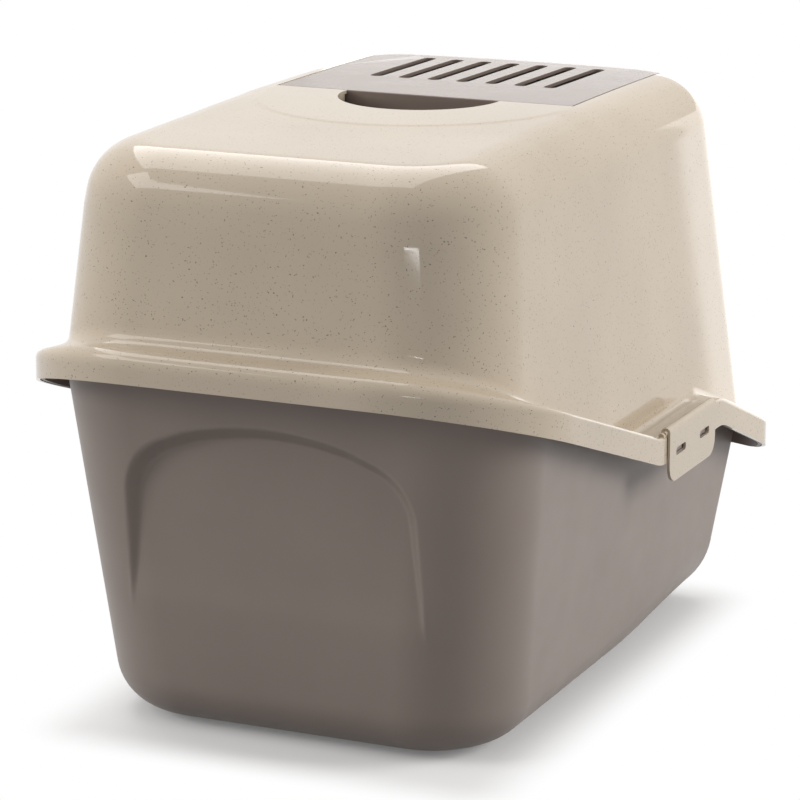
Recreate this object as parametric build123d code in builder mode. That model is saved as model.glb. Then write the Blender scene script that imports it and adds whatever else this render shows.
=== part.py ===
from build123d import *
import os

os.makedirs("parts", exist_ok=True)

# Covered litter box. X is across, the entrance faces -Y, Z is up.
# The origin is on the floor, under the middle of the box. All sizes are in millimetres.

# Rim: the flange where the hood meets the tray, seen from above
rim_length = 560
rim_width = 390
rim_rear_radius = 110
rim_front_radius = 50

# Rim: height of the skirt's lower edge, from the rear wall down to the front
rear_edge_z = 263.8
landing_edge_z = 168.3
front_edge_z = 116
landing_rear_y = -3
landing_front_y = -135
rim_bend_radius = 30
skirt_height = 20
front_bend_setback = 12

# Walls and clearances
shell = 2.6
seat_gap = 0.3
side_gap = 0.6
pin_gap = 0.06

# Tray
tray_side_setback = 43.5
tray_rear_setback = 67
tray_front_setback = 37
tray_side_draft = 0.1
tray_rear_draft = 0.113
tray_front_draft = 0.17
tray_rear_radius = 72
tray_front_radius = 38
tray_floor_fillet = 36
foot_height = 2.5
foot_radius = 11
foot_inset = 52
lip_drop = 0.6

# Arch pressed into the tray's rear wall
arch_foot_setback = 42.5
arch_shoulder_setback = 52.5
arch_foot_z = 98
arch_shoulder_drop = 64.8
arch_crown_drop = 41.8
arch_shoulder_radius = 40
arch_face_draft = 0.02
arch_side_angle = 32

# Hood
hood_side_setback = 22.5
hood_width_z = 190
hood_rear_setback = 23
hood_rear_z = 285
hood_front_setback = 19
hood_front_z = 150
hood_side_draft = 0.08
hood_rear_draft = 0.107
hood_front_draft = 0.1
hood_rear_radius = 68
hood_front_radius = 36
hood_top_corner_radius = 78
hood_low_bow = 4
hood_top_bow = 21
hood_crest_z = 417.5
hood_crest_y = -40
hood_crown_radius = 8000
hood_top_fillet = 42

# Front panel: wraps over the top and down the front of the hood
panel_side_setback = 57.5
panel_rear_y = -25
panel_rear_gap = 1.2
panel_edge_round = 1
panel_sill_z = 150
panel_corner_radius = 22
panel_rear_wall_drop = 31.5
ledge_width = 7
ledge_overlap = 3

# Hinge of the front panel: pins on its lugs, in bores of the hood's ears
hinge_setback = 18
hinge_drop = 8
hinge_lug_radius = 4.6
hinge_lug_width = 2.5
hinge_pin_radius = 1.8
hinge_pin_hold = 4

# Finger opening of the handle, behind the panel's rear wall
handle_side_setback = 55
handle_centre_y = -22
handle_wall_depth = 13

# Grille in the panel
slot_count = 7
slot_pitch_share = 23.1 / 164
slot_width = 10
slot_rear_setback = 68
slot_front_setback = 61

# Filter under the grille, in its holder
filter_side_setback = 33
filter_end_margin = 5.5
filter_thickness = 7
filter_corner_radius = 5
filter_clearance = 0.4
holder_wall = 2
holder_depth = 11
holder_lip = 5
holder_slot_count = 9
holder_slot_pitch_share = 16 / 164
holder_slot_width = 8
holder_slot_margin = 10
socket_wall = 2.4
socket_edge_drop = 21.5

# Entrance, with a porch behind it, and the swing door
entrance_side_setback = 19
entrance_sill_z = 162
entrance_head_drop = 51.5
entrance_sill_radius = 34
entrance_head_radius = 12
porch_wall = 2.4
porch_depth = 47
door_setback = 4
door_thickness = 2.4
door_gap = 2.2
door_pin_drop = 14
door_top_rise = 10
door_bead_radius = 3
door_pin_radius = 2
door_pin_hold = 3
door_boss_radius = 5
door_boss_width = 5

# Side clips
clip_width = 98
clip_centre_setback = 59
clip_barrel_setback = 1.3
clip_barrel_rise = 21.9
clip_barrel_radius = 3.5
clip_thickness = 2.2
clip_bottom_drop = 15.8
clip_corner_radius = 13
clip_end_gap = 0.8
clip_slot_length = 20
clip_slot_height = 5.6
clip_slot_radius = 2
clip_slot_spacing = 50.5
clip_slot_rise = 5.3
clip_pin_radius = 1.6
clip_pin_hold = 3.2
clip_boss_width = 6
lug_margin = 0.5

# Worked out from the sizes above
rim_half_width = rim_width / 2
rim_half_length = rim_length / 2
front_bend_y = -rim_half_length + front_bend_setback
tray_half_width = rim_half_width - tray_side_setback
tray_rear_y = rim_half_length - tray_rear_setback
tray_front_y = -rim_half_length + tray_front_setback
hood_half_width = rim_half_width - hood_side_setback
hood_rear_y = rim_half_length - hood_rear_setback
hood_front_y = -rim_half_length + hood_front_setback
arch_foot_half_width = tray_half_width - arch_foot_setback
arch_shoulder_half_width = tray_half_width - arch_shoulder_setback
arch_shoulder_z = rear_edge_z - arch_shoulder_drop
arch_crown_z = rear_edge_z - arch_crown_drop
flange_under = skirt_height - shell
tray_flange_top = flange_under - seat_gap
tray_flange_under = tray_flange_top - shell
lip_inset = shell + side_gap
far = 700

rear_slope = (rear_edge_z - landing_edge_z) / (rim_half_length - landing_rear_y)
overrun = 40
rim_edge = [
    (rim_half_length + overrun, rear_edge_z + rear_slope * overrun),
    (landing_rear_y, landing_edge_z),
    (landing_front_y, landing_edge_z),
    (front_bend_y, front_edge_z),
    (-rim_half_length - overrun, front_edge_z),
]

sides = (-1, 1)

foot_x = tray_half_width - foot_inset
foot_ys = (tray_rear_y - foot_inset, tray_front_y + foot_inset)

panel_half_width = hood_half_width - panel_side_setback
panel_rear_wall_bottom_z = hood_crest_z - panel_rear_wall_drop
handle_radius = panel_half_width - handle_side_setback
hinge_y = panel_rear_y - hinge_setback
hinge_z = hood_crest_z - hinge_drop
ledge_inner_x = panel_half_width - ledge_width
lug_outer_x = ledge_inner_x - side_gap

filter_width = 2 * (panel_half_width - filter_side_setback)
slot_pitch = filter_width * slot_pitch_share
slot_rear_y = panel_rear_y - slot_rear_setback
slot_front_y = hood_front_y + slot_front_setback
filter_length = slot_rear_y - slot_front_y + 2 * filter_end_margin
filter_centre_y = (slot_rear_y + slot_front_y) / 2
holder_slot_pitch = filter_width * holder_slot_pitch_share
holder_slot_length = filter_length - 2 * holder_slot_margin
socket_edge_z = hood_crest_z - socket_edge_drop
holder_grow = filter_clearance + holder_wall
socket_grow = holder_grow + filter_clearance
holder_floor_z = socket_edge_z - seat_gap
holder_bottom_z = holder_floor_z - holder_wall

entrance_half_width = panel_half_width - entrance_side_setback
entrance_head_z = hood_crest_z - entrance_head_drop
porch_rear_y = hood_front_y + porch_depth
door_plane_y = porch_rear_y - door_setback
door_pin_z = entrance_head_z - door_pin_drop

clip_centre_y = landing_rear_y - clip_centre_setback
clip_barrel_x = rim_half_width - clip_barrel_setback
clip_barrel_z = landing_edge_z + clip_barrel_rise
clip_bottom_z = landing_edge_z - clip_bottom_drop
clip_slot_z = landing_edge_z + clip_slot_rise
clip_rear_y = clip_centre_y + clip_width / 2
clip_front_y = clip_centre_y - clip_width / 2
window_rear_y = clip_rear_y + clip_end_gap
window_front_y = clip_front_y - clip_end_gap
window_inner_x = clip_barrel_x - clip_barrel_radius - clip_end_gap
clip_inner_x = clip_barrel_x + clip_barrel_radius - clip_thickness
clip_slot_ys = [clip_centre_y + side * clip_slot_spacing / 2 for side in sides]
lug_half_length = clip_slot_length / 2 - lug_margin
lug_bottom_z = clip_slot_z - clip_slot_height / 2 + lug_margin
lug_top_z = clip_slot_z + clip_slot_height / 2 - lug_margin


def plan_outline(half_width, rear_y, front_y, rear_radius, front_radius):
    """Outline seen from above: a rounded rectangle with two corner radii."""
    with BuildSketch() as outline:
        with BuildLine():
            FilletPolyline(
                (-half_width, front_y),
                (half_width, front_y),
                (half_width, rear_y),
                (-half_width, rear_y),
                radius=[front_radius, front_radius, rear_radius, rear_radius],
                close=True,
            )
        make_face()
    return outline.sketch


def block(x_range, y_range, z_range):
    """A plain block between two corners."""
    with BuildPart() as solid:
        with Locations(((x_range[0] + x_range[1]) / 2, (y_range[0] + y_range[1]) / 2, (z_range[0] + z_range[1]) / 2)):
            Box(x_range[1] - x_range[0], y_range[1] - y_range[0], z_range[1] - z_range[0])
    return solid.part


def rim_band(low, high):
    """Everything between two levels over the skirt's lower edge, seen from the side."""
    with BuildPart() as band:
        with BuildSketch(Plane.YZ):
            with BuildLine():
                lower = FilletPolyline(*[(y, z + low) for y, z in rim_edge], radius=rim_bend_radius)
                upper = FilletPolyline(*[(y, z + high) for y, z in rim_edge], radius=rim_bend_radius)
                Line(lower @ 0, upper @ 0)
                Line(lower @ 1, upper @ 1)
            make_face()
        extrude(amount=rim_width, both=True)
    return band.part


def rim_layer(inset, low, high):
    """A layer of the rim, inset from its outline, between two levels over the skirt's edge."""
    with BuildPart() as layer:
        add(
            plan_outline(
                rim_half_width - inset,
                rim_half_length - inset,
                -rim_half_length + inset,
                rim_rear_radius - inset,
                rim_front_radius - inset,
            )
        )
        extrude(amount=far)
        add(rim_band(low, high), mode=Mode.INTERSECT)
    return layer.part


def tray_form(inset):
    """The tray as a solid block, inset by a wall from its outer surface."""
    with BuildPart() as form:
        for z in (foot_height + inset, far / 2):
            with BuildSketch(Plane.XY.offset(z)):
                add(
                    plan_outline(
                        tray_half_width + tray_side_draft * z - inset,
                        tray_rear_y + tray_rear_draft * z - inset,
                        tray_front_y - tray_front_draft * z + inset,
                        tray_rear_radius - inset,
                        tray_front_radius - inset,
                    )
                )
        loft(ruled=True)
        floor_edges = form.faces().sort_by(Axis.Z)[0].edges()
        fillet(floor_edges, radius=tray_floor_fillet - inset)
    return form.part


def arch_block(inset):
    """The block behind the rear wall that presses the arch into it, grown by a wall."""
    foot_y = tray_rear_y + tray_rear_draft * arch_foot_z - inset
    face = Plane(origin=(0, foot_y, arch_foot_z), x_dir=(-1, 0, 0), z_dir=(0, 1, -arch_face_draft))
    crown = arch_crown_z - arch_foot_z + inset
    shoulder = arch_shoulder_z - arch_foot_z + inset
    foot = arch_foot_half_width + inset
    top = arch_shoulder_half_width + inset
    toe = foot + (foot - top) / 2
    below = -shoulder / 2
    with BuildPart() as solid:
        with BuildSketch(face) as sketch:
            with BuildLine():
                crown_arc = ThreePointArc((-top, shoulder), (0, crown), (top, shoulder))
                Polyline(crown_arc @ 1, (toe, below), (-toe, below), crown_arc @ 0)
            make_face()
            shoulders = sketch.vertices().sort_by(Axis.Y)[-2:]
            fillet(shoulders, radius=arch_shoulder_radius + inset)
        extrude(amount=60, taper=-arch_side_angle)
    return solid.part


def hood_form(inset):
    """The hood as a solid block, inset by a wall from its outer surface. Its front is bowed outwards."""
    levels = (
        (front_edge_z - 20, hood_rear_radius, hood_front_radius, hood_low_bow),
        (hood_crest_z + 20, hood_top_corner_radius, hood_top_corner_radius, hood_top_bow),
    )
    with BuildPart() as form:
        for z, rear_radius, front_radius, bow in levels:
            half_width = hood_half_width - hood_side_draft * (z - hood_width_z) - inset
            rear_y = hood_rear_y - hood_rear_draft * (z - hood_rear_z) - inset
            front_y = hood_front_y + hood_front_draft * (z - hood_front_z) + inset
            with BuildSketch(Plane.XY.offset(z)) as level:
                with BuildLine():
                    front = ThreePointArc((-half_width, front_y), (0, front_y - bow), (half_width, front_y))
                    Polyline(front @ 1, (half_width, rear_y), (-half_width, rear_y), front @ 0)
                make_face()
                fillet(level.vertices().sort_by(Axis.Y)[-2:], radius=rear_radius - inset)
                fillet(level.vertices().sort_by(Axis.Y)[:2], radius=front_radius - inset)
        loft(ruled=True)
        with BuildSketch(Plane.YZ):
            with Locations((hood_crest_y, hood_crest_z - hood_crown_radius)):
                Circle(hood_crown_radius - inset)
        extrude(amount=rim_width, both=True, mode=Mode.INTERSECT)
        top_edges = form.faces().sort_by(Axis.Z)[-1].edges()
        fillet(top_edges, radius=hood_top_fillet - inset)
    return form.part


def bar_across(radius, start_x, end_x, centre_y, centre_z):
    """A round bar along X."""
    with BuildPart() as bar:
        with BuildSketch(Plane.YZ.offset(start_x)):
            with Locations((centre_y, centre_z)):
                Circle(radius)
        extrude(amount=end_x - start_x)
    return bar.part


def bar_along(radius, start_y, end_y, centre_x, centre_z):
    """A round bar along Y."""
    with BuildPart() as bar:
        with BuildSketch(Plane.XZ.offset(-start_y)):
            with Locations((centre_x, centre_z)):
                Circle(radius)
        extrude(amount=start_y - end_y)
    return bar.part


def hinge_lug(start_x, end_x):
    """A lug that hangs under the roof and is round about the panel's hinge."""
    with BuildPart() as lug:
        add(bar_across(hinge_lug_radius, start_x, end_x, hinge_y, hinge_z))
        top_z = hood_crest_z - shell / 2 - seat_gap
        y_range = (hinge_y - hinge_lug_radius, hinge_y + hinge_lug_radius)
        add(block((start_x, end_x), y_range, (hinge_z, top_z)))
    return lug.part


def front_window(grow, reach_y):
    """The region of the front panel, grown by a gap: down the front, and over the top as far as reach_y."""
    half = panel_half_width + grow
    sill = panel_sill_z - grow
    top = hood_crest_z + panel_corner_radius
    with BuildPart() as region:
        with BuildSketch(Plane.XZ.offset(-reach_y)):
            with BuildLine():
                sides_and_sill = FilletPolyline(
                    (-half, top),
                    (-half, sill),
                    (half, sill),
                    (half, top),
                    radius=panel_corner_radius + grow,
                )
                Line(sides_and_sill @ 0, sides_and_sill @ 1)
            make_face()
        extrude(amount=rim_length)
    return region.part


def entrance_prism(grow, rear_y, front_y):
    """The entrance seen from the front, grown by a wall or a gap, between two places along Y."""
    half = entrance_half_width + grow
    with BuildPart() as prism:
        with BuildSketch(Plane.XZ.offset(-rear_y)):
            with BuildLine():
                FilletPolyline(
                    (-half, entrance_sill_z - grow),
                    (half, entrance_sill_z - grow),
                    (half, entrance_head_z + grow),
                    (-half, entrance_head_z + grow),
                    radius=[
                        entrance_sill_radius + grow,
                        entrance_sill_radius + grow,
                        entrance_head_radius + grow,
                        entrance_head_radius + grow,
                    ],
                    close=True,
                )
            make_face()
        extrude(amount=rear_y - front_y)
    return prism.part


def filter_prism(grow, low_z, high_z):
    """The filter seen from above, grown by a wall or a gap, between two levels."""
    with BuildPart() as prism:
        with BuildSketch(Plane.XY.offset(low_z)):
            with Locations((0, filter_centre_y)):
                RectangleRounded(filter_width + 2 * grow, filter_length + 2 * grow, filter_corner_radius + grow)
        extrude(amount=high_z - low_z)
    return prism.part


def handle_disc(radius, front_y, low_z):
    """The handle's half disc, seen from above, from a level up through the roof."""
    with BuildPart() as disc:
        with BuildSketch(Plane.XY.offset(low_z)):
            with Locations((0, handle_centre_y)):
                Circle(radius)
            with Locations((0, (front_y + handle_centre_y) / 2)):
                Rectangle(2 * radius, handle_centre_y - front_y)
            with Locations((0, front_y)):
                Rectangle(2 * radius, 2 * radius, align=(Align.CENTER, Align.MAX), mode=Mode.SUBTRACT)
        extrude(amount=hood_crest_z + shell - low_z)
    return disc.part


def across(side, near_x, far_x):
    """An X range between two distances from the middle, on one side of the box."""
    return tuple(sorted((side * near_x, side * far_x)))


# Tray: the litter pan, with a flange that hangs inside the hood's skirt
with BuildPart() as tray_cavity:
    add(tray_form(shell))
    add(arch_block(shell), mode=Mode.SUBTRACT)
with BuildPart() as tray_rim:
    add(rim_layer(lip_inset, lip_drop, tray_flange_top))
    add(rim_layer(lip_inset + shell, -shell, tray_flange_under), mode=Mode.SUBTRACT)
with BuildPart() as base_tray:
    add(tray_form(0))
    add(arch_block(0), mode=Mode.SUBTRACT)
    add(rim_band(tray_flange_top, far), mode=Mode.SUBTRACT)
    add(tray_rim.part)
    add(tray_cavity.part, mode=Mode.SUBTRACT)
    with Locations(*[(x, y, foot_height) for x in (-foot_x, foot_x) for y in foot_ys]):
        Cylinder(foot_radius, foot_height, align=(Align.CENTER, Align.CENTER, Align.MAX))
    for side in sides:
        for y in clip_slot_ys:
            lug_x = across(side, rim_half_width - lip_inset - shell, clip_inner_x - lug_margin)
            add(block(lug_x, (y - lug_half_length, y + lug_half_length), (lug_bottom_z, lug_top_z)))
base_tray.part.label = "base_tray"
export_step(base_tray.part, "parts/base_tray.step")

# Hood: walls, roof, flange and skirt in one shell, with a ledge that the front panel lies on
with BuildPart() as ledge_ring:
    add(front_window(ledge_overlap, hinge_y))
    add(front_window(-ledge_width, 0), mode=Mode.SUBTRACT)
    add(hood_form(2 * shell + seat_gap), mode=Mode.SUBTRACT)
with BuildPart() as hood_hollow:
    add(hood_form(shell))
    add(ledge_ring.part, mode=Mode.SUBTRACT)
with BuildPart() as window_cut:
    add(front_window(side_gap, panel_rear_y + panel_rear_gap))
    add(hood_form(shell + seat_gap), mode=Mode.SUBTRACT)
with BuildPart() as handle_wall:
    add(handle_disc(handle_radius + shell, handle_centre_y, hood_crest_z - handle_wall_depth))
    add(hood_form(shell / 2), mode=Mode.INTERSECT)
with BuildPart() as hood_shell:
    add(hood_form(0))
    add(rim_band(-far, flange_under), mode=Mode.SUBTRACT)
    add(rim_layer(0, 0, skirt_height))
    add(hood_hollow.part, mode=Mode.SUBTRACT)
    add(rim_layer(shell, -shell, flange_under), mode=Mode.SUBTRACT)
    add(handle_wall.part)
    add(handle_disc(handle_radius, panel_rear_y, panel_rear_wall_bottom_z), mode=Mode.SUBTRACT)
    add(window_cut.part, mode=Mode.SUBTRACT)
    for side in sides:
        ear_x = across(side, ledge_inner_x, panel_half_width + ledge_overlap)
        add(bar_across(hinge_lug_radius, ear_x[0], ear_x[1], hinge_y, hinge_z))
        bore_x = across(side, ledge_inner_x - side_gap, ledge_inner_x + hinge_pin_hold + seat_gap)
        add(bar_across(hinge_pin_radius + pin_gap, bore_x[0], bore_x[1], hinge_y, hinge_z), mode=Mode.SUBTRACT)
        window_x = across(side, window_inner_x, rim_width)
        window_z = (clip_bottom_z, clip_barrel_z + skirt_height)
        add(block(window_x, (window_front_y, window_rear_y), window_z), mode=Mode.SUBTRACT)
        for end_y, outward in ((window_rear_y, 1), (window_front_y, -1)):
            boss_end_y = end_y + outward * clip_boss_width
            bore_end_y = end_y + outward * (clip_pin_hold + seat_gap)
            barrel_x = side * clip_barrel_x
            add(bar_along(clip_barrel_radius, end_y, boss_end_y, barrel_x, clip_barrel_z))
            bore = bar_along(clip_pin_radius + pin_gap, end_y, bore_end_y, barrel_x, clip_barrel_z)
            add(bore, mode=Mode.SUBTRACT)
hood_shell.part.label = "hood_shell"
export_step(hood_shell.part, "parts/hood_shell.step")

# Front panel: a skin flush with the hood, a rear wall behind its hinge, a porch and a filter socket
with BuildPart() as socket:
    add(filter_prism(socket_grow + socket_wall, socket_edge_z, hood_crest_z))
    add(filter_prism(socket_grow, socket_edge_z, hood_crest_z), mode=Mode.SUBTRACT)
    add(hood_form(shell / 2), mode=Mode.INTERSECT)
with BuildPart() as porch:
    add(entrance_prism(porch_wall, porch_rear_y, -rim_half_length))
    for side in sides:
        boss_x = across(side, entrance_half_width, entrance_half_width + door_boss_width)
        add(bar_across(door_boss_radius, boss_x[0], boss_x[1], door_plane_y, door_pin_z))
    add(hood_form(0), mode=Mode.INTERSECT)
with BuildPart() as front_panel:
    add(hood_form(0))
    add(hood_form(shell), mode=Mode.SUBTRACT)
    add(front_window(0, panel_rear_y), mode=Mode.INTERSECT)
    rear_edges = front_panel.edges().filter_by(Axis.X).group_by(Axis.Y)[-1]
    fillet(rear_edges.sort_by(Axis.Z)[-1], radius=panel_edge_round)
    rear_wall_z = (panel_rear_wall_bottom_z, hood_crest_z - 2 * shell / 3)
    add(block((-lug_outer_x, lug_outer_x), (panel_rear_y - shell, panel_rear_y), rear_wall_z))
    add(socket.part)
    add(porch.part)
    add(entrance_prism(0, porch_rear_y, -rim_half_length), mode=Mode.SUBTRACT)
    with BuildSketch(Plane.XY.offset(socket_edge_z)):
        with Locations((0, (slot_rear_y + slot_front_y) / 2)):
            with GridLocations(slot_pitch, 1, slot_count, 1):
                SlotOverall(slot_rear_y - slot_front_y, slot_width, rotation=90)
    extrude(amount=hood_crest_z - socket_edge_z, mode=Mode.SUBTRACT)
    for side in sides:
        lug_x = across(side, lug_outer_x - hinge_lug_width, lug_outer_x)
        add(hinge_lug(lug_x[0], lug_x[1]))
        pin_x = across(side, lug_outer_x - hinge_lug_width, ledge_inner_x + hinge_pin_hold)
        add(bar_across(hinge_pin_radius, pin_x[0], pin_x[1], hinge_y, hinge_z))
        bore_x = across(side, entrance_half_width, entrance_half_width + door_pin_hold + seat_gap)
        bore = bar_across(door_pin_radius + pin_gap, bore_x[0], bore_x[1], door_plane_y, door_pin_z)
        add(bore, mode=Mode.SUBTRACT)
front_panel.part.label = "front_panel"
export_step(front_panel.part, "parts/front_panel.step")

# Swing door: hangs in the porch from two pins
with BuildPart() as swing_door:
    add(entrance_prism(-door_gap, door_plane_y + door_thickness / 2, door_plane_y - door_thickness / 2))
    split_z = door_pin_z + door_top_rise
    add(block((-rim_width, rim_width), (-rim_length, rim_length), (split_z, far)), mode=Mode.SUBTRACT)
    door_half_width = entrance_half_width - door_gap
    add(bar_across(door_bead_radius, -door_half_width, door_half_width, door_plane_y, door_pin_z))
    door_pin_end = entrance_half_width + door_pin_hold
    add(bar_across(door_pin_radius, -door_pin_end, door_pin_end, door_plane_y, door_pin_z))
swing_door.part.label = "swing_door"
export_step(swing_door.part, "parts/swing_door.step")

# Filter holder: a slotted tray that is pushed up into the socket, and the filter that lies in it
with BuildPart() as filter_holder:
    add(filter_prism(holder_grow + holder_lip, holder_bottom_z, holder_floor_z))
    add(filter_prism(holder_grow, holder_bottom_z, holder_bottom_z + holder_depth))
    add(filter_prism(filter_clearance, holder_floor_z, far), mode=Mode.SUBTRACT)
    with BuildSketch(Plane.XY.offset(holder_bottom_z)):
        with Locations((0, filter_centre_y)):
            with GridLocations(holder_slot_pitch, 1, holder_slot_count, 1):
                SlotOverall(holder_slot_length, holder_slot_width, rotation=90)
    extrude(amount=holder_wall, mode=Mode.SUBTRACT)
filter_holder.part.label = "filter_holder"
export_step(filter_holder.part, "parts/filter_holder.step")

with BuildPart() as carbon_filter:
    add(filter_prism(0, holder_floor_z + seat_gap, holder_floor_z + seat_gap + filter_thickness))
carbon_filter.part.label = "carbon_filter"
export_step(carbon_filter.part, "parts/carbon_filter.step")


def side_clip(side):
    """A clip that hangs from the hood's flange and closes over the tray's lugs."""
    with BuildPart() as clip:
        with BuildSketch(Plane.YZ.offset(side * clip_inner_x)):
            with BuildLine():
                apron = FilletPolyline(
                    (clip_rear_y, clip_barrel_z),
                    (clip_rear_y, clip_bottom_z),
                    (clip_front_y, clip_bottom_z),
                    (clip_front_y, clip_barrel_z),
                    radius=clip_corner_radius,
                )
                Line(apron @ 0, apron @ 1)
            make_face()
            with Locations(*[(y, clip_slot_z) for y in clip_slot_ys]):
                RectangleRounded(clip_slot_length, clip_slot_height, clip_slot_radius, mode=Mode.SUBTRACT)
        extrude(amount=side * clip_thickness)
        add(bar_along(clip_barrel_radius, clip_rear_y, clip_front_y, side * clip_barrel_x, clip_barrel_z))
        pin_rear_y = window_rear_y + clip_pin_hold
        pin_front_y = window_front_y - clip_pin_hold
        add(bar_along(clip_pin_radius, pin_rear_y, pin_front_y, side * clip_barrel_x, clip_barrel_z))
    return clip


left_clip = side_clip(-1)
left_clip.part.label = "left_clip"
export_step(left_clip.part, "parts/left_clip.step")

right_clip = side_clip(1)
right_clip.part.label = "right_clip"
export_step(right_clip.part, "parts/right_clip.step")
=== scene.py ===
import math

import bmesh
import bpy
import numpy as np
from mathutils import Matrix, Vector


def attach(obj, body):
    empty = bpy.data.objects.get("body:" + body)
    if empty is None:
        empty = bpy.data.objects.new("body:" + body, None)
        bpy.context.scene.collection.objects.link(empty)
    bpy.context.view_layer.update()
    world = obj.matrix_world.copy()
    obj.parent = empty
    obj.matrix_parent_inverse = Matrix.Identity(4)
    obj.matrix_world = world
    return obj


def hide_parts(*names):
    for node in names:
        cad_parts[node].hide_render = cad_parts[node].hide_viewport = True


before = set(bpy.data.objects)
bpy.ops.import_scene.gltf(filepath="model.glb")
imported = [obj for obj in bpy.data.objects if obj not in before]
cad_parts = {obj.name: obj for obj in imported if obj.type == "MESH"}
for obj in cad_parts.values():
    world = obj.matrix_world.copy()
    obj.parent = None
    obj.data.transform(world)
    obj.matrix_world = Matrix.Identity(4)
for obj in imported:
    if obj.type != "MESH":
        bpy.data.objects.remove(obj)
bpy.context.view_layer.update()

# Lengths below are in millimetres, as in the CAD model. X is across, the entrance faces -Y, Z is up.
MM = 0.001

# Rim of the hood and tray
RIM_HALF = 195.0
RIM_END = 280.0
RIM_RADII = (110.0, 50.0)
RIM_LINE = ((320.0, 277.3), (-3.0, 168.3), (-135.0, 168.3), (-268.0, 116.0), (-320.0, 116.0))
RIM_BEND = 9.0
SHELL = 2.6

# Flange above the rim. Each REAR value is what the rear of the box adds to or takes from the one before it
RIDGE_RISE = 20.3
RIDGE_REAR_DROP = 0.4
ROOT_RISE = 7.0
ROOT_REAR_DROP = 3.0
RIDGE_ROUND = 3.4
RIDGE_REAR_ROUND = 7.0
COVE = 6.0
COVE_REAR = 5.0
SKIRT_SHARE = 0.3

# Where the rim leaves its level landing, towards the rear and, with Y turned round, towards the front
LANDING_REAR = (-7.0, 14.0)
LANDING_FRONT = (131.0, 152.0)

# Hood
ROOF_Z = 417.5
CREST_Y = -40.0
CROWN_R = 8000.0
TOP_FILLET = 42.0
PLATFORM = 117.0
PLATFORM_Y = -20.0
PLATFORM_STEP = 0.6
PLATFORM_FRONT_STEP = 0.9
ROOF_FALL = 0.9
ROOF_FALL_REACH = 40.0
HANDLE_Y = -22.0
HANDLE_R = 60.0

# Walls as place, lean and the level of that place
HOOD_SIDE = (172.5, -0.08, 190.0)
HOOD_REAR = (257.0, -0.107, 285.0)
HOOD_FRONT = (-261.0, 0.1, 150.0)
TRAY_SIDE = (151.5, 0.1, 0.0)
TRAY_REAR = (213.0, 0.113, 0.0)
TRAY_FRONT = (-243.0, -0.17, 0.0)

# Front panel, its hinge and the clips
PANEL_HALF = 115.0
PANEL_SILL_Z = 150.0
PANEL_CORNER = 22.0
HINGE_YZ = (-43.0, 409.3)
HINGE_R = 4.6
CLIP_X = 193.7
CLIP_Z = 190.2
CLIP_Y = -62.0
CLIP_ENDS = (-111.0, -13.0)
CLIP_BOTTOM_Z = 152.5
CLIP_SLOT_Z = 173.6
CLIP_SLOT_SPACING = 50.5

# Tray: floor, foot rounding, arch pressed into the rear wall, and the flange under the hood's
TRAY_FLOOR = 2.5
TRAY_MIDDLE = (0.0, -15.0)
TRAY_REAR_RADIUS = 72.0
TRAY_FRONT_RADIUS = (38.0, -0.15, 0.0)
FOOT_ROUND = 38.0
FOOT_FRONT_ROUND = 18.0
FOOT_FRONT_REACH = (40.0, 215.0)
ARCH_CROWN_Z = 222.0
ARCH_SHOULDER_Z = 199.0
ARCH_SHOULDER_HALF = 99.0
ARCH_FOOT_HALF = 118.9
ARCH_CORNER = 40.0
ARCH_DEPTH = 2.0
ARCH_DEPTH_RATE = 0.093
ARCH_EDGE_SLOPE = 1.4
BEAD = 0.55
BEAD_PLACE = 2.0
BEAD_WIDTH = 1.9
FLANGE_GAP = 4.4

# Number of points along each stretch of a ring: half the front, front corner, side, rear corner, rear
HOOD_STEPS = (20, 18, 80, 26, 26)
TRAY_STEPS = (8, 14, 30, 84, 104)

# Number of rings in each stretch of a surface
ROUND_RINGS = 8
WALL_RINGS = 14
FILLET_RINGS = 16
ROOF_RINGS = 7
PLATFORM_RINGS = 12
FLOOR_RINGS = 8
FOOT_RINGS = 14
TRAY_OUTER_RINGS = 150
TRAY_INNER_RINGS = 44

UP = np.array((0, 0, 1))


def outline(half, rear, front, rear_radius, front_radius, steps, bow=0.0):
    """A rounded rectangle seen from above, with its outward directions, from the middle of the front.

    Its front may be bowed outwards."""
    front_half, front_arc, side, rear_arc, rear_count = steps
    points, normals = [], []

    def line(start, end, count, normal):
        for f in np.arange(count) / count:
            points.append((start[0] + (end[0] - start[0]) * f, start[1] + (end[1] - start[1]) * f))
            normals.append(normal)

    def arc(x, y, radius, first, count, turn=math.pi / 2):
        for a in first + turn * np.arange(count) / count:
            points.append((x + radius * math.cos(a), y + radius * math.sin(a)))
            normals.append((math.cos(a), math.sin(a)))

    fx, fy = half - front_radius, front + front_radius
    rx, ry = half - rear_radius, rear - rear_radius
    lean = 0.0
    if bow:
        bow_radius = (half**2 + bow**2) / (2 * bow)
        bow_y = front - bow + bow_radius
        reach = math.sqrt((bow_radius - front_radius) ** 2 - fx**2)
        fy = bow_y - reach
        lean = math.atan2(fx, reach)
        arc(0, bow_y, bow_radius, -math.pi / 2, front_half, lean)
    else:
        line((0, front), (fx, front), front_half, (0, -1))
    arc(fx, fy, front_radius, -math.pi / 2 + lean, front_arc, math.pi / 2 - lean)
    line((half, fy), (half, ry), side, (1, 0))
    arc(rx, ry, rear_radius, 0, rear_arc)
    line((rx, rear), (-rx, rear), rear_count, (0, 1))
    arc(-rx, ry, rear_radius, math.pi / 2, rear_arc)
    line((-half, ry), (-half, fy), side, (-1, 0))
    arc(-fx, fy, front_radius, math.pi, front_arc, math.pi / 2 - lean)
    if bow:
        arc(0, bow_y, bow_radius, -math.pi / 2 - lean, front_half, lean)
    else:
        line((-fx, front), (0, front), front_half, (0, -1))
    return np.array(points), np.array(normals)


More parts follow.
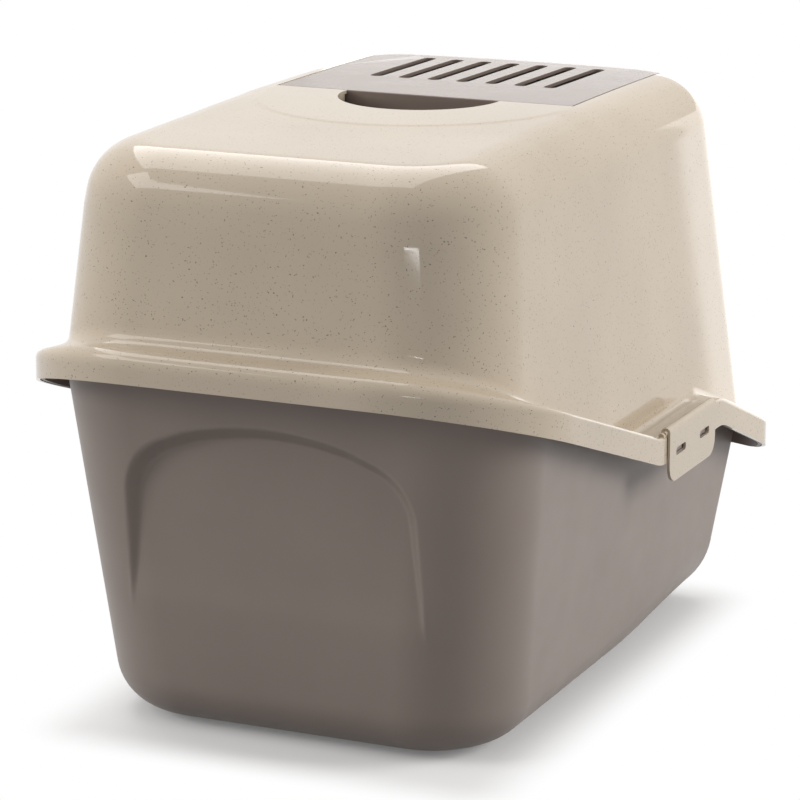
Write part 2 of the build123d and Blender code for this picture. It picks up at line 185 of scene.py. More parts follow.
def rim_level(y):
    """Height of the skirt's lower edge at a place along Y, with rounded bends."""
    line = RIM_LINE
    z = np.interp(y, [p[0] for p in line[::-1]], [p[1] for p in line[::-1]])
    for before, at, after in zip(line, line[1:], line[2:]):
        slope_in = (before[1] - at[1]) / (before[0] - at[0])
        slope_out = (at[1] - after[1]) / (at[0] - after[0])
        u = (np.asarray(y) - at[0]) / RIM_BEND
        lift = (slope_in - slope_out) * RIM_BEND * np.clip(1 - np.abs(u), 0, 1) ** 2 / 4
        z = z + lift
    return z


def smooth(value, low, high):
    """Rises smoothly from 0 at low to 1 at high."""
    f = np.clip((value - low) / (high - low), 0, 1)
    return f * f * (3 - 2 * f)


def leaning(wall, z):
    """Place of a straight, leaning wall at a level."""
    place, lean, level = wall
    return place + lean * (z - level)


def unit(vectors):
    return vectors / np.linalg.norm(vectors, axis=1)[:, None]


def join(xy, z):
    return np.column_stack((xy, np.broadcast_to(z, len(xy))))


def bend(start, corner, end, count):
    """Points of a rounded corner between two places, for every point of a ring."""
    rings = []
    for f in np.linspace(0, 1, count):
        rings.append((1 - f) ** 2 * start + 2 * f * (1 - f) * corner + f * f * end)
    return rings


def roof_level(x, y):
    """Height of the roof: a slight crown along Y, falling away outside the raised middle."""
    out = np.where(y > PLATFORM_Y, np.hypot(x, y - PLATFORM_Y), np.abs(x)) - PLATFORM
    step = PLATFORM_STEP + PLATFORM_FRONT_STEP * smooth(-y, 15.0, 40.0)
    fall = step * smooth(out, -2.0, 3.0) + ROOF_FALL * np.clip(out, 0, ROOF_FALL_REACH) / ROOF_FALL_REACH
    return ROOF_Z - (y - CREST_Y) ** 2 / (2 * CROWN_R) - fall


def rim_corner(steps, inset, drop):
    """Plan, facing, edge and ridge of the flange, and its level at the wall, for an inset and a drop."""
    radii = [radius - inset for radius in RIM_RADII]
    xy, normal = outline(RIM_HALF - inset, RIM_END - inset, -RIM_END + inset, *radii, steps)
    full, _ = outline(RIM_HALF, RIM_END, -RIM_END, *RIM_RADII, steps)
    edge = rim_level(full[:, 1])
    rearward = np.clip(normal[:, 1], 0, 1) ** 2
    ridge = edge + RIDGE_RISE - RIDGE_REAR_DROP * rearward - drop
    y = full[:, 1]
    slope = smooth(y, *LANDING_REAR) + smooth(-y, *LANDING_FRONT)
    rise = ROOT_RISE * slope - ROOT_REAR_DROP * rearward * slope
    return xy, normal, edge, ridge, ridge + rise


# Levels that the hood's wall runs between, each with its corner radii and its bow
HOOD_LOW = (96.0, 68.0, 36.0, 4.0)
HOOD_HIGH = (437.5, 78.0, 78.0, 21.0)


def hood_plan(level, steps):
    z, rear_radius, front_radius, bow = level
    half, rear, front = [leaning(wall, z) for wall in (HOOD_SIDE, HOOD_REAR, HOOD_FRONT)]
    return outline(half, rear, front, rear_radius, front_radius, steps, bow)


hood_low, normal_low = hood_plan(HOOD_LOW, HOOD_STEPS)
hood_high, normal_high = hood_plan(HOOD_HIGH, HOOD_STEPS)
hood_rate = (hood_high - hood_low) / (HOOD_HIGH[0] - HOOD_LOW[0])


def hood_facing(z):
    """Outward directions of the hood's wall at a level, and how fast it leans inwards there."""
    f = ((np.broadcast_to(z, len(hood_low)) - HOOD_LOW[0]) / (HOOD_HIGH[0] - HOOD_LOW[0]))[:, None]
    normal = unit(normal_low * (1 - f) + normal_high * f)
    return normal, -np.sum(hood_rate * normal, axis=1)


def hood_wall(z, inset):
    """Points of the hood's wall at a level, or at one level for each point of the ring."""
    z = np.broadcast_to(z, len(hood_low))
    normal, draft = hood_facing(z)
    xy = hood_low + hood_rate * (z - HOOD_LOW[0])[:, None]
    return xy - normal * (inset * np.sqrt(1 + draft**2))[:, None]


def hood_rings(inset):
    """Rings of the hood's surface, from the skirt's lower edge up to the middle of the roof."""
    rim, facing, edge, ridge, meet = rim_corner(HOOD_STEPS, inset, inset)
    rearward = np.clip(facing[:, 1], 0, 1)[:, None] ** 2
    corner = join(rim, ridge)
    root = join(hood_wall(meet, inset), meet)
    along = unit(root - corner)
    up = unit(join(hood_rate, 1.0))
    small = np.maximum(RIDGE_ROUND + RIDGE_REAR_ROUND * rearward - inset, 1.0)
    rings = [join(rim, edge), join(rim, edge * (1 - SKIRT_SHARE) + ridge * SKIRT_SHARE)]
    rings += bend(corner - UP * small, corner, corner + along * small, ROUND_RINGS)
    rings += [(corner + root) / 2]
    cove = COVE + COVE_REAR * rearward + inset
    rings += bend(root - along * cove, root, root + up * cove, ROUND_RINGS)

    centre_z = ROOF_Z - TOP_FILLET
    normal, draft = hood_facing(centre_z)
    delta = np.arctan(draft)
    centre = hood_wall(centre_z, 0) - normal * (TOP_FILLET / np.cos(delta))[:, None]
    centre_z = roof_level(centre[:, 0], centre[:, 1]) - TOP_FILLET
    start_z = centre_z + (TOP_FILLET - inset) * np.sin(delta)
    low_z = rings[-1][:, 2]
    for f in np.linspace(0, 1, WALL_RINGS)[1:-1]:
        z = low_z + (start_z - low_z) * f
        rings.append(join(hood_wall(z, inset), z))
    for f in np.linspace(0, 1, FILLET_RINGS):
        angle = delta + (math.pi / 2 - delta) * f
        reach = (TOP_FILLET - inset) * np.cos(angle)
        xy = centre + normal * reach[:, None]
        rings.append(join(xy, centre_z + (TOP_FILLET - inset) * np.sin(angle)))

    pole = np.array((0.0, PLATFORM_Y))
    ray = rings[-1][:, :2] - pole
    length = np.linalg.norm(ray, axis=1)
    way = ray / length[:, None]
    with np.errstate(divide="ignore"):
        edge_r = np.where(way[:, 1] > 0, PLATFORM, PLATFORM / np.abs(way[:, 0]))
    edge_r = np.minimum(edge_r, length * 0.9)
    for f in np.linspace(0, 1, ROOF_RINGS)[1:]:
        xy = pole + way * (length + (edge_r + 4 - length) * f)[:, None]
        rings.append(join(xy, roof_level(xy[:, 0], xy[:, 1]) - inset))
    for r in (2.0, 0.0, -2.0):
        xy = pole + way * (edge_r + r)[:, None]
        rings.append(join(xy, roof_level(xy[:, 0], xy[:, 1]) - inset))
    for f in np.linspace(0, 1, PLATFORM_RINGS)[1:-1]:
        xy = pole + way * ((edge_r - 2) * (1 - f))[:, None]
        rings.append(join(xy, roof_level(xy[:, 0], xy[:, 1]) - inset))
    top = (pole[0], pole[1], roof_level(*pole) - inset)
    return rings, top


def make_object(name, vertices, faces):
    mesh = bpy.data.meshes.new(name)
    mesh.from_pydata([tuple(v) for v in np.asarray(vertices) * MM], [], faces)
    piece = bpy.data.objects.new(name, mesh)
    bpy.context.collection.objects.link(piece)
    return piece


def wind_outward(piece):
    work = bmesh.new()
    work.from_mesh(piece.data)
    bmesh.ops.recalc_face_normals(work, faces=work.faces)
    work.to_mesh(piece.data)
    work.free()
    return piece


def ring_solid(name, rings, first_pole, last_pole):
    """A closed solid through rings with the same number of points, closed by a pole at each end."""
    count = len(rings[0])
    vertices = [first_pole] + [p for ring in rings for p in ring] + [last_pole]
    faces = []
    for i in range(count):
        j = (i + 1) % count
        faces.append((0, 1 + j, 1 + i))
        for k in range(len(rings) - 1):
            a, b = 1 + k * count, 1 + (k + 1) * count
            faces.append((a + i, a + j, b + j, b + i))
        last = 1 + (len(rings) - 1) * count
        faces.append((last + i, last + j, len(vertices) - 1))
    return wind_outward(make_object(name, vertices, faces))


def hood_layer(name, outer, inner):
    """A shell of the hood between two insets, closed along the skirt's lower edge."""
    outer_rings, outer_top = hood_rings(outer)
    inner_rings, inner_top = hood_rings(inner)
    return ring_solid(name, outer_rings[::-1] + inner_rings, outer_top, inner_top)


def prism(name, points, direction, start, end):
    """A straight prism with the given outline, along X, Y or Z."""
    place = {
        "x": lambda p, d: (d, p[0], p[1]),
        "y": lambda p, d: (p[0], d, p[1]),
        "z": lambda p, d: (p[0], p[1], d),
    }[direction]
    count = len(points)
    vertices = [place(p, start) for p in points] + [place(p, end) for p in points]
    faces = [tuple(range(count)), tuple(range(2 * count - 1, count - 1, -1))]
    for i in range(count):
        j = (i + 1) % count
        faces.append((i, i + count, j + count, j))
    return wind_outward(make_object(name, vertices, faces))


def rounded(corners, steps=8):
    """A closed outline through corners given as (a, b, radius)."""
    points = []
    count = len(corners)
    for i, (a, b, radius) in enumerate(corners):
        here = np.array((a, b), float)
        before = np.array(corners[i - 1][:2], float) - here
        after = np.array(corners[(i + 1) % count][:2], float) - here
        if radius == 0:
            points.append(tuple(here))
            continue
        before /= np.linalg.norm(before)
        after /= np.linalg.norm(after)
        half_angle = math.acos(np.clip(before @ after, -1, 1)) / 2
        centre = here + unit((before + after)[None])[0] * radius / math.sin(half_angle)
        start = here + before * radius / math.tan(half_angle) - centre
        end = here + after * radius / math.tan(half_angle) - centre
        turn = math.acos(np.clip(start @ end / radius**2, -1, 1))
        for f in np.linspace(0, 1, steps):
            p = (start * math.sin((1 - f) * turn) + end * math.sin(f * turn)) / math.sin(turn)
            points.append(tuple(centre + p))
    return points


def settle(piece, modifier):
    """Makes a modifier's result the piece's own mesh."""
    evaluated = piece.evaluated_get(bpy.context.evaluated_depsgraph_get())
    mesh = bpy.data.meshes.new_from_object(evaluated)
    piece.modifiers.remove(modifier)
    piece.data = mesh
    return piece


def cut(piece, tool, operation="DIFFERENCE"):
    modifier = piece.modifiers.new("cut", "BOOLEAN")
    modifier.operation = operation
    modifier.solver = "MANIFOLD"
    modifier.object = tool
    settle(piece, modifier)
    bpy.data.objects.remove(tool)
    return piece


def merge(piece, *others):
    """Puts closed solids into one piece."""
    work = bmesh.new()
    work.from_mesh(piece.data)
    for other in others:
        work.from_mesh(other.data)
        bpy.data.objects.remove(other)
    work.to_mesh(piece.data)
    work.free()
    return piece


def shade(piece, angle=35.0):
    """Smooth shading, with edges sharper than the angle kept sharp."""
    work = bmesh.new()
    work.from_mesh(piece.data)
    for face in work.faces:
        face.smooth = True
    for edge in work.edges:
        if edge.is_manifold and edge.calc_face_angle(0.0) > math.radians(angle):
            edge.smooth = False
    work.to_mesh(piece.data)
    work.free()
    modifier = piece.modifiers.new("even", "WEIGHTED_NORMAL")
    modifier.keep_sharp = True
    return settle(piece, modifier)


def round_edges(piece, width, angle=50.0, segments=2):
    """Rounds the sharp edges of a piece."""
    modifier = piece.modifiers.new("round", "BEVEL")
    modifier.width = width * MM
    modifier.segments = segments
    modifier.limit_method = "ANGLE"
    modifier.angle_limit = math.radians(angle)
    modifier.use_clamp_overlap = True
    return settle(piece, modifier)


def rod(name, radius, start, end, direction, centre, steps=32):
    points = [(centre[0] + radius * math.cos(a), centre[1] + radius * math.sin(a))
              for a in np.arange(steps) * 2 * math.pi / steps]
    return prism(name, points, direction, start, end)


def box(name, x, y, z):
    return prism(name, [(x[0], y[0]), (x[1], y[0]), (x[1], y[1]), (x[0], y[1])], "z", z[0], z[1])


def window(name, grow, rear):
    """The region of the front panel, grown by a gap, from a place on the roof to the front."""
    half, sill, top, radius = PANEL_HALF + grow, PANEL_SILL_Z - grow, 445.0, PANEL_CORNER + grow
    corners = [(-half, top, 0), (half, top, 0), (half, sill, radius), (-half, sill, radius)]
    return prism(name, rounded(corners), "y", rear, -300.0)


def handle_region():
    """The handle's finger opening: a half disc seen from above, open to the panel's rear edge."""
    angles = np.linspace(0, math.pi, 49)
    points = [(HANDLE_R * math.cos(a), HANDLE_Y + HANDLE_R * math.sin(a)) for a in angles]
    points += [(-HANDLE_R, -25.0), (HANDLE_R, -25.0)]
    return prism("handle_cut", points, "z", 380.0, 430.0)


# Materials
def material(name, colour, roughness):
    made = bpy.data.materials.new(name)
    made.use_nodes = True
    nodes = made.node_tree.nodes
    shader = nodes["Principled BSDF"]
    shader.inputs["Base Color"].default_value = (*colour, 1)
    shader.inputs["Roughness"].default_value = roughness
    return made, nodes, made.node_tree.links, shader


def place(nodes):
    return nodes.new("ShaderNodeTexCoord").outputs["Object"]


def noise(nodes, links, where, scale, detail=3.0, rough=0.5):
    node = nodes.new("ShaderNodeTexNoise")
    node.inputs["Scale"].default_value = scale
    node.inputs["Detail"].default_value = detail
    node.inputs["Roughness"].default_value = rough
    links.new(where, node.inputs["Vector"])
    return node.outputs["Fac"]


def ramp(nodes, links, value, stops):
    node = nodes.new("ShaderNodeValToRGB")
    ends = node.color_ramp.elements
    ends[0].position, ends[0].color = stops[0][0], (*stops[0][1], 1)
    ends[1].position, ends[1].color = stops[-1][0], (*stops[-1][1], 1)
    for position, colour in stops[1:-1]:
        ends.new(position).color = (*colour, 1)
    links.new(value, node.inputs["Fac"])
    return node.outputs["Color"]


def multiply(nodes, links, a, b):
    node = nodes.new("ShaderNodeMix")
    node.data_type = "RGBA"
    node.blend_type = "MULTIPLY"
    node.inputs["Factor"].default_value = 1.0
    links.new(a, node.inputs["A"])
    links.new(b, node.inputs["B"])
    return node.outputs["Result"]


def bump(nodes, links, height, strength, distance):
    node = nodes.new("ShaderNodeBump")
    node.inputs["Strength"].default_value = strength
    node.inputs["Distance"].default_value = distance
    links.new(height, node.inputs["Height"])
    return node.outputs["Normal"]


def plastic(name, colour, roughness, speck, grain, vary=0.04, gloss=0.5):
    """Moulded plastic: soft variation of tone, fine dark specks and a fine grain."""
    made, nodes, links, shader = material(name, colour, roughness)
    shader.inputs["Specular IOR Level"].default_value = gloss
    where = place(nodes)
    low = tuple(c * (1 - vary) for c in colour)
    high = tuple(min(c * (1 + vary), 1) for c in colour)
    tone = ramp(nodes, links, noise(nodes, links, where, 9.0), [(0.35, low), (0.65, high)])
    if speck:
        spots = ramp(nodes, links, noise(nodes, links, where, 700.0, 2.0, 0.6),
                     [(0.2, (1, 1, 1)), (0.655, (1, 1, 1)), (0.70, (speck, speck, speck))])
        tone = multiply(nodes, links, tone, spots)
    links.new(tone, shader.inputs["Base Color"])
    rough = nodes.new("ShaderNodeMapRange")
    links.new(noise(nodes, links, where, 40.0, 4.0), rough.inputs["Value"])
    rough.inputs["To Min"].default_value = roughness * 0.85
    rough.inputs["To Max"].default_value = roughness * 1.15
    links.new(rough.outputs["Result"], shader.inputs["Roughness"])
    texture = noise(nodes, links, where, 900.0, 2.0)
    links.new(bump(nodes, links, texture, grain, 0.0002), shader.inputs["Normal"])
    return made


hood_plastic = plastic("hood_plastic", (0.515, 0.43, 0.33), roughness=0.06, speck=0.28, grain=0.02)
clip_plastic = plastic("clip_plastic", (0.50, 0.42, 0.325), roughness=0.18, speck=0.5, grain=0.03)
tray_plastic = plastic("tray_plastic", (0.245, 0.2, 0.176), roughness=0.42, speck=0.0, grain=0.15, gloss=0.36)
panel_plastic = plastic("panel_plastic", (0.222, 0.175, 0.15), roughness=0.24, speck=0.0, grain=0.1)
door_plastic = plastic("door_plastic", (0.21, 0.176, 0.157), roughness=0.25, speck=0.0, grain=0.1)
holder_plastic = plastic("holder_plastic", (0.10, 0.083, 0.073), roughness=0.5, speck=0.0, grain=0.2)
filter_felt = plastic("filter_felt", (0.022, 0.022, 0.024), roughness=0.95, speck=0.0, grain=1.0, vary=0.3)


# Parts repeated at the corners of a rectangle
def corner_tree(name, shape):
    """A tree that sets four like rods or blocks at the corners of a rectangle."""
    tree = bpy.data.node_groups.new(name, "GeometryNodeTree")
    nodes, links = tree.nodes, tree.links
    kinds = {
        "Across": "NodeSocketFloat", "Along": "NodeSocketFloat", "Middle": "NodeSocketVector",
        "Turn": "NodeSocketVector", "Finish": "NodeSocketMaterial",
    }
    if shape == "rod":
        kinds.update({"Radius": "NodeSocketFloat", "Length": "NodeSocketFloat"})
    else:
        kinds["Size"] = "NodeSocketVector"
    for label, kind in kinds.items():
        tree.interface.new_socket(label, in_out="INPUT", socket_type=kind)
    tree.interface.new_socket("Geometry", in_out="OUTPUT", socket_type="NodeSocketGeometry")
    given = nodes.new("NodeGroupInput").outputs
    grid = nodes.new("GeometryNodeMeshGrid")
    grid.inputs["Vertices X"].default_value = 2
    grid.inputs["Vertices Y"].default_value = 2
    links.new(given["Across"], grid.inputs["Size X"])
    links.new(given["Along"], grid.inputs["Size Y"])
    shift = nodes.new("GeometryNodeSetPosition")
    links.new(grid.outputs["Mesh"], shift.inputs["Geometry"])
    links.new(given["Middle"], shift.inputs["Offset"])
    if shape == "rod":
        one = nodes.new("GeometryNodeMeshCylinder")
        one.inputs["Vertices"].default_value = 32
        links.new(given["Radius"], one.inputs["Radius"])
        links.new(given["Length"], one.inputs["Depth"])
    else:
        one = nodes.new("GeometryNodeMeshCube")
        links.new(given["Size"], one.inputs["Size"])
    turn = nodes.new("FunctionNodeEulerToRotation")
    links.new(given["Turn"], turn.inputs["Euler"])
    spread = nodes.new("GeometryNodeInstanceOnPoints")
    links.new(shift.outputs["Geometry"], spread.inputs["Points"])
    links.new(one.outputs["Mesh"], spread.inputs["Instance"])
    links.new(turn.outputs["Rotation"], spread.inputs["Rotation"])
    real = nodes.new("GeometryNodeRealizeInstances")
    links.new(spread.outputs["Instances"], real.inputs["Geometry"])
    finish = nodes.new("GeometryNodeSetMaterial")
    links.new(real.outputs["Geometry"], finish.inputs["Geometry"])
    links.new(given["Finish"], finish.inputs["Material"])
    links.new(finish.outputs["Geometry"], nodes.new("NodeGroupOutput").inputs["Geometry"])
    return tree


def at_corners(name, tree, values, body, edge):
    """A piece of four rods or blocks, with lengths in millimetres and rounded edges."""
    piece = bpy.data.objects.new(name, bpy.data.meshes.new(name))
    bpy.context.collection.objects.link(piece)
    modifier = piece.modifiers.new("corners", "NODES")
    modifier.node_group = tree
    for item in tree.interface.items_tree:
        if item.in_out == "INPUT":
            value = values[item.name]
            if item.name in ("Middle", "Size"):
                value = tuple(v * MM for v in value)
            elif item.name not in ("Turn", "Finish"):
                value = value * MM
            modifier[item.identifier] = value
    settle(piece, modifier)
    round_edges(piece, edge)
    shade(piece)
    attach(piece, body)
    return piece


rod_tree = corner_tree("corner_rods", "rod")
block_tree = corner_tree("corner_blocks", "block")


# Hood
hood = hood_layer("hood_body", 0.0, SHELL)
cut(hood, handle_region())
cut(hood, window("window_cut", 1.2, -23.8))
for side in (-1, 1):
    xs = sorted((side * 189.4, side * 205.0))
    cut(hood, box("clip_cut", xs, (CLIP_ENDS[0] - 0.8, CLIP_ENDS[1] + 0.8), (150.0, 215.0)))
round_edges(hood, 0.7)
ledge = hood_layer("hood_ledge", SHELL + 0.1, 2 * SHELL + 0.3)
cut(ledge, window("ledge_outer", 3.0, -43.0), "INTERSECT")
cut(ledge, window("ledge_inner", -7.0, 0.0))
arc = np.linspace(0, math.pi, 41)
lip_points = []
for radius, angles in ((HANDLE_R + 0.4, arc), (HANDLE_R + 2.8, arc[::-1])):
    lip_points += [(radius * math.cos(a), HANDLE_Y + radius * math.sin(a)) for a in angles]
handle_lip = prism("handle_lip", lip_points, "z", 404.5, ROOF_Z - 1.9)
extra = [round_edges(ledge, 0.4), round_edges(handle_lip, 0.5)]
for side in (-1, 1):
    xs = sorted((side * 108.0, side * 118.0))
    extra.append(round_edges(rod("hood_ear", HINGE_R, xs[0], xs[1], "x", HINGE_YZ), 0.4))
merge(hood, *extra)
shade(hood)
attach(hood, "hood")
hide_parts("hood_shell")
at_corners("hood_bosses", rod_tree, {
    "Radius": 2.3, "Length": 6.0, "Across": 385.4, "Along": 105.6, "Middle": (0.0, CLIP_Y, 189.0),
    "Turn": (math.pi / 2, 0.0, 0.0), "Finish": hood_plastic,
}, "hood", 0.9)


# Tray
def arch_outline():
    """Edge of the arch on its sunk face: half width and height above the floor."""
    rise = ARCH_CROWN_Z - ARCH_SHOULDER_Z
    radius = (ARCH_SHOULDER_HALF**2 + rise**2) / (2 * rise)
    span = math.asin(ARCH_SHOULDER_HALF / radius)
    centre = ARCH_CROWN_Z - radius
    top = [(radius * math.sin(a), centre + radius * math.cos(a)) for a in np.linspace(-span, span, 15)]
    shoulders = [(*top[0], ARCH_CORNER), (*top[-1], ARCH_CORNER)]
    crown = [(*point, 0) for point in top[3:-3]]
    feet = [(ARCH_FOOT_HALF, 0.0, 0), (-ARCH_FOOT_HALF, 0.0, 0)]
    return rounded([shoulders[0], *crown, shoulders[1], *feet], 12)


arch_edge = np.array(arch_outline())


def arch_distance(x, z):
    """Distance outside the arch's edge, negative inside it."""
    point = np.column_stack((x, z))[:, None, :]
    start = arch_edge[None]
    run = np.roll(arch_edge, -1, axis=0)[None] - start
    f = np.clip(np.sum((point - start) * run, axis=2) / np.maximum(np.sum(run * run, axis=2), 1e-9), 0, 1)
    gap = np.linalg.norm(point - start - run * f[..., None], axis=2).min(axis=1)
    ahead = point - start
    crosses = (start[..., 1] > point[..., 1]) != (start[..., 1] + run[..., 1] > point[..., 1])
    with np.errstate(divide="ignore", invalid="ignore"):
        at = start[..., 0] + run[..., 0] * ahead[..., 1] / run[..., 1]
    inside = np.sum(crosses & (point[..., 0] < at), axis=1) % 2 == 1
    return np.where(inside, -gap, gap)


def soft_min(a, b, k):
    h = np.clip(0.5 + 0.5 * (b - a) / k, 0, 1)
    return b + (a - b) * h - k * h * (1 - h)


def press_arch(points, normal):
    """Presses the arch into the rear wall."""
    x, y, z = points.T
    rear = (y > 100) & (np.abs(x) < 135) & (normal[:, 1] > 0.3)
    depth = np.zeros(len(x))
    full = ARCH_DEPTH * smooth(z, 88.0, 125.0) + ARCH_DEPTH_RATE * np.clip(z - 98.0, 0, None)
    near = np.where(rear)[0]
    if len(near):
        away = arch_distance(x[near], z[near])
        sunk = soft_min(full[near], full[near] - ARCH_EDGE_SLOPE * away, 3.2)
        bead = BEAD * np.exp(-(((away - BEAD_PLACE) / BEAD_WIDTH) ** 2))
        depth[near] = np.clip(-soft_min(-sunk, np.zeros(len(near)), 2.6), 0, None) - bead
    depth *= smooth(z, 84.0, 110.0)
    moved = points.copy()
    moved[:, 1] -= depth
    return moved


def tray_plan(z):
    half, rear, front = [leaning(wall, z) for wall in (TRAY_SIDE, TRAY_REAR, TRAY_FRONT)]
    return outline(half, rear, front, TRAY_REAR_RADIUS, leaning(TRAY_FRONT_RADIUS, z), TRAY_STEPS)


tray_low, tray_normal = tray_plan(0.0)
tray_high, _ = tray_plan(100.0)
tray_rate = (tray_high - tray_low) / 100.0
tray_flare = np.sum(tray_rate * tray_normal, axis=1)


def tray_wall(z, inset):
    z = np.broadcast_to(z, len(tray_low))
    return tray_low + tray_rate * z[:, None] - tray_normal * (inset * np.sqrt(1 + tray_flare**2))[:, None]


def flange_root():
    """Level of the tray's flange at the tray's wall, close under the hood's flange."""
    rim, _, _, ridge, meet = rim_corner(HOOD_STEPS, 0.0, 0.0)
    start, end = join(rim, ridge), join(hood_wall(meet, 0), meet)
    flange = np.concatenate([start + (end - start) * f for f in np.linspace(0, 1, 31)])
    _, _, _, tray_ridge, _ = rim_corner(TRAY_STEPS, 0.0, 0.0)
    wall = tray_wall(tray_ridge, 0)
    gap = np.linalg.norm(wall[:, None, :] - flange[None, :, :2], axis=2)
    near = np.argpartition(gap, 4, axis=1)[:, :4]
    weight = 1 / (np.take_along_axis(gap, near, axis=1) + 0.2) ** 2
    level = np.sum(flange[near, 2] * weight, axis=1) / np.sum(weight, axis=1)
    for _ in range(3):
        level = (np.roll(level, 1) + level + np.roll(level, -1)) / 3
    return level - FLANGE_GAP


tray_root = flange_root()


def tray_rings(inset, count):
    """Rings of the tray from the middle of its floor up its wall to just under the flange."""
    # Beside the front corners this radius is wider than the corner itself, which folds the floor there
    frontness = smooth(-tray_low[:, 1], *FOOT_FRONT_REACH)
    radius = FOOT_ROUND + FOOT_FRONT_ROUND * frontness * np.abs(tray_normal[:, 0])
    tilt = np.arctan(tray_flare)
    centre_z = TRAY_FLOOR + radius
    centre = tray_wall(centre_z, 0) - tray_normal * (radius / np.cos(tilt))[:, None]
    rings = []
    pole = np.array(TRAY_MIDDLE)
    for f in np.linspace(0, 1, FLOOR_RINGS)[1:-1]:
        rings.append(join(pole + (centre - pole) * f, TRAY_FLOOR + inset))
    for f in np.linspace(0, 1, FOOT_RINGS):
        angle = -math.pi / 2 + (math.pi / 2 - tilt) * f
        xy = centre + tray_normal * ((radius - inset) * np.cos(angle))[:, None]
        rings.append(join(xy, centre_z + (radius - inset) * np.sin(angle)))
    low = rings[-1][:, 2]
    high = tray_root - (8.0 if inset == 0 else 2.2)
    for f in np.linspace(0, 1, count)[1:]:
        z = low + (high - low) * f
        rings.append(press_arch(join(tray_wall(z, inset), z), tray_normal))
    return rings, (pole[0], pole[1], TRAY_FLOOR + inset)


def tray_flange():
    """Rings of the tray's flange, from under its root round its lip to the top of the inner wall."""
    under_rim, facing, edge, under_ridge, _ = rim_corner(TRAY_STEPS, 5.8, 5.5)
    over_rim, _, _, over_ridge, _ = rim_corner(TRAY_STEPS, 3.2, 2.9)
    rearward = np.clip(facing[:, 1], 0, 1)[:, None] ** 2
    drop = UP * (1 + 2 * rearward)
    rise = unit(join(tray_rate, 1.0))

    root = join(tray_wall(tray_root - SHELL, 0), tray_root - SHELL)
    corner = join(under_rim, under_ridge)
    along = unit(corner - root)
    rings = bend(root - rise * 5, root, root + along * 5, 5)
    rings += bend(corner - along * (1.5 + 4 * rearward), corner, corner - drop * 1.5, 4)
    rings += [join(under_rim, edge + 0.6), join(over_rim, edge + 0.6)]

    corner = join(over_rim, over_ridge)
    root = join(tray_wall(tray_root, SHELL), tray_root)
    along = unit(root - corner)
    rings += bend(corner - drop * 3, corner, corner + along * (3 + 6 * rearward), 6)
    return rings + bend(root - along * 2, root, root - rise * 2, 3)


outer, outer_pole = tray_rings(0.0, TRAY_OUTER_RINGS)
inner, inner_pole = tray_rings(SHELL, TRAY_INNER_RINGS)
tray = ring_solid("tray_body", outer + tray_flange() + inner[::-1], outer_pole, inner_pole)
shade(tray)
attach(tray, "base")
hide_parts("base_tray")
at_corners("tray_feet", rod_tree, {
    "Radius": 11.0, "Length": 4.4, "Across": 199.0, "Along": 352.0, "Middle": (*TRAY_MIDDLE, 2.2),
    "Turn": (0.0, 0.0, 0.0), "Finish": tray_plastic,
}, "base", 0.8)
at_corners("tray_lugs", block_tree, {
    "Size": (8.5, 19.0, 4.6), "Across": 380.5, "Along": CLIP_SLOT_SPACING,
    "Middle": (0.0, CLIP_Y, CLIP_SLOT_Z), "Turn": (0.0, 0.0, 0.0), "Finish": tray_plastic,
}, "base", 0.8)


# Side clips
def clip_piece(side, name):
    """A clip: a plate with two slots, rolled over a barrel along its top."""
    barrel = 3.5
    turn = np.linspace(0, math.radians(292), 26)
    top = [(CLIP_X + barrel * math.cos(a), CLIP_Z + barrel * math.sin(a)) for a in turn]
    section = [(197.2, CLIP_BOTTOM_Z), *top, (195.0, CLIP_BOTTOM_Z)]
    front, rear = CLIP_ENDS
    clip = prism(name, [(side * x, z) for x, z in section], "y", front, rear)
    corners = [(front, 200.0, 0), (front, CLIP_BOTTOM_Z, 13.0), (rear, CLIP_BOTTOM_Z, 13.0), (rear, 200.0, 0)]
    cut(clip, prism("clip_shape", rounded(corners), "x", side * 180.0, side * 205.0), "INTERSECT")
    low, high, radius = CLIP_SLOT_Z - 2.8, CLIP_SLOT_Z + 2.8, 2.2
    for y in (CLIP_Y - CLIP_SLOT_SPACING / 2, CLIP_Y + CLIP_SLOT_SPACING / 2):
        corners = [(y + a, z, radius) for a, z in ((-10, low), (10, low), (10, high), (-10, high))]
        cut(clip, prism("clip_slot", rounded(corners, 5), "x", side * 180.0, side * 205.0))
    round_edges(clip, 0.7, 50.0, 3)
    spans = ((rear - 1.0, rear + 3.8), (front - 3.8, front + 1.0))
    pins = [rod("clip_pin", 1.6, a, b, "y", (side * CLIP_X, CLIP_Z), 16) for a, b in spans]
    merge(clip, *pins)
    shade(clip)
    node = name.removesuffix("_plate")
    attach(clip, node)
    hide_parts(node)
    return clip


clips = [clip_piece(-1, "left_clip_plate"), clip_piece(1, "right_clip_plate")]


def dressed(node, body, width):
    """A copy of a CAD piece with its edges rounded."""
    piece = bpy.data.objects.new(node + "_skin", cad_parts[node].data.copy())
    bpy.context.collection.objects.link(piece)
    work = bmesh.new()
    work.from_mesh(piece.data)
    bmesh.ops.remove_doubles(work, verts=work.verts, dist=0.000002)
    bmesh.ops.dissolve_limit(work, angle_limit=math.radians(0.5), verts=work.verts, edges=work.edges)
    work.to_mesh(piece.data)
    work.free()
    round_edges(piece, width, 40.0)
    shade(piece, 32.0)
    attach(piece, body)
    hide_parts(node)
    return piece


panel = dressed("front_panel", "front_panel", 0.5)
door = dressed("swing_door", "swing_door", 0.5)
holder = dressed("filter_holder", "filter_holder", 0.4)
felt = dressed("carbon_filter", "filter_holder", 1.2)


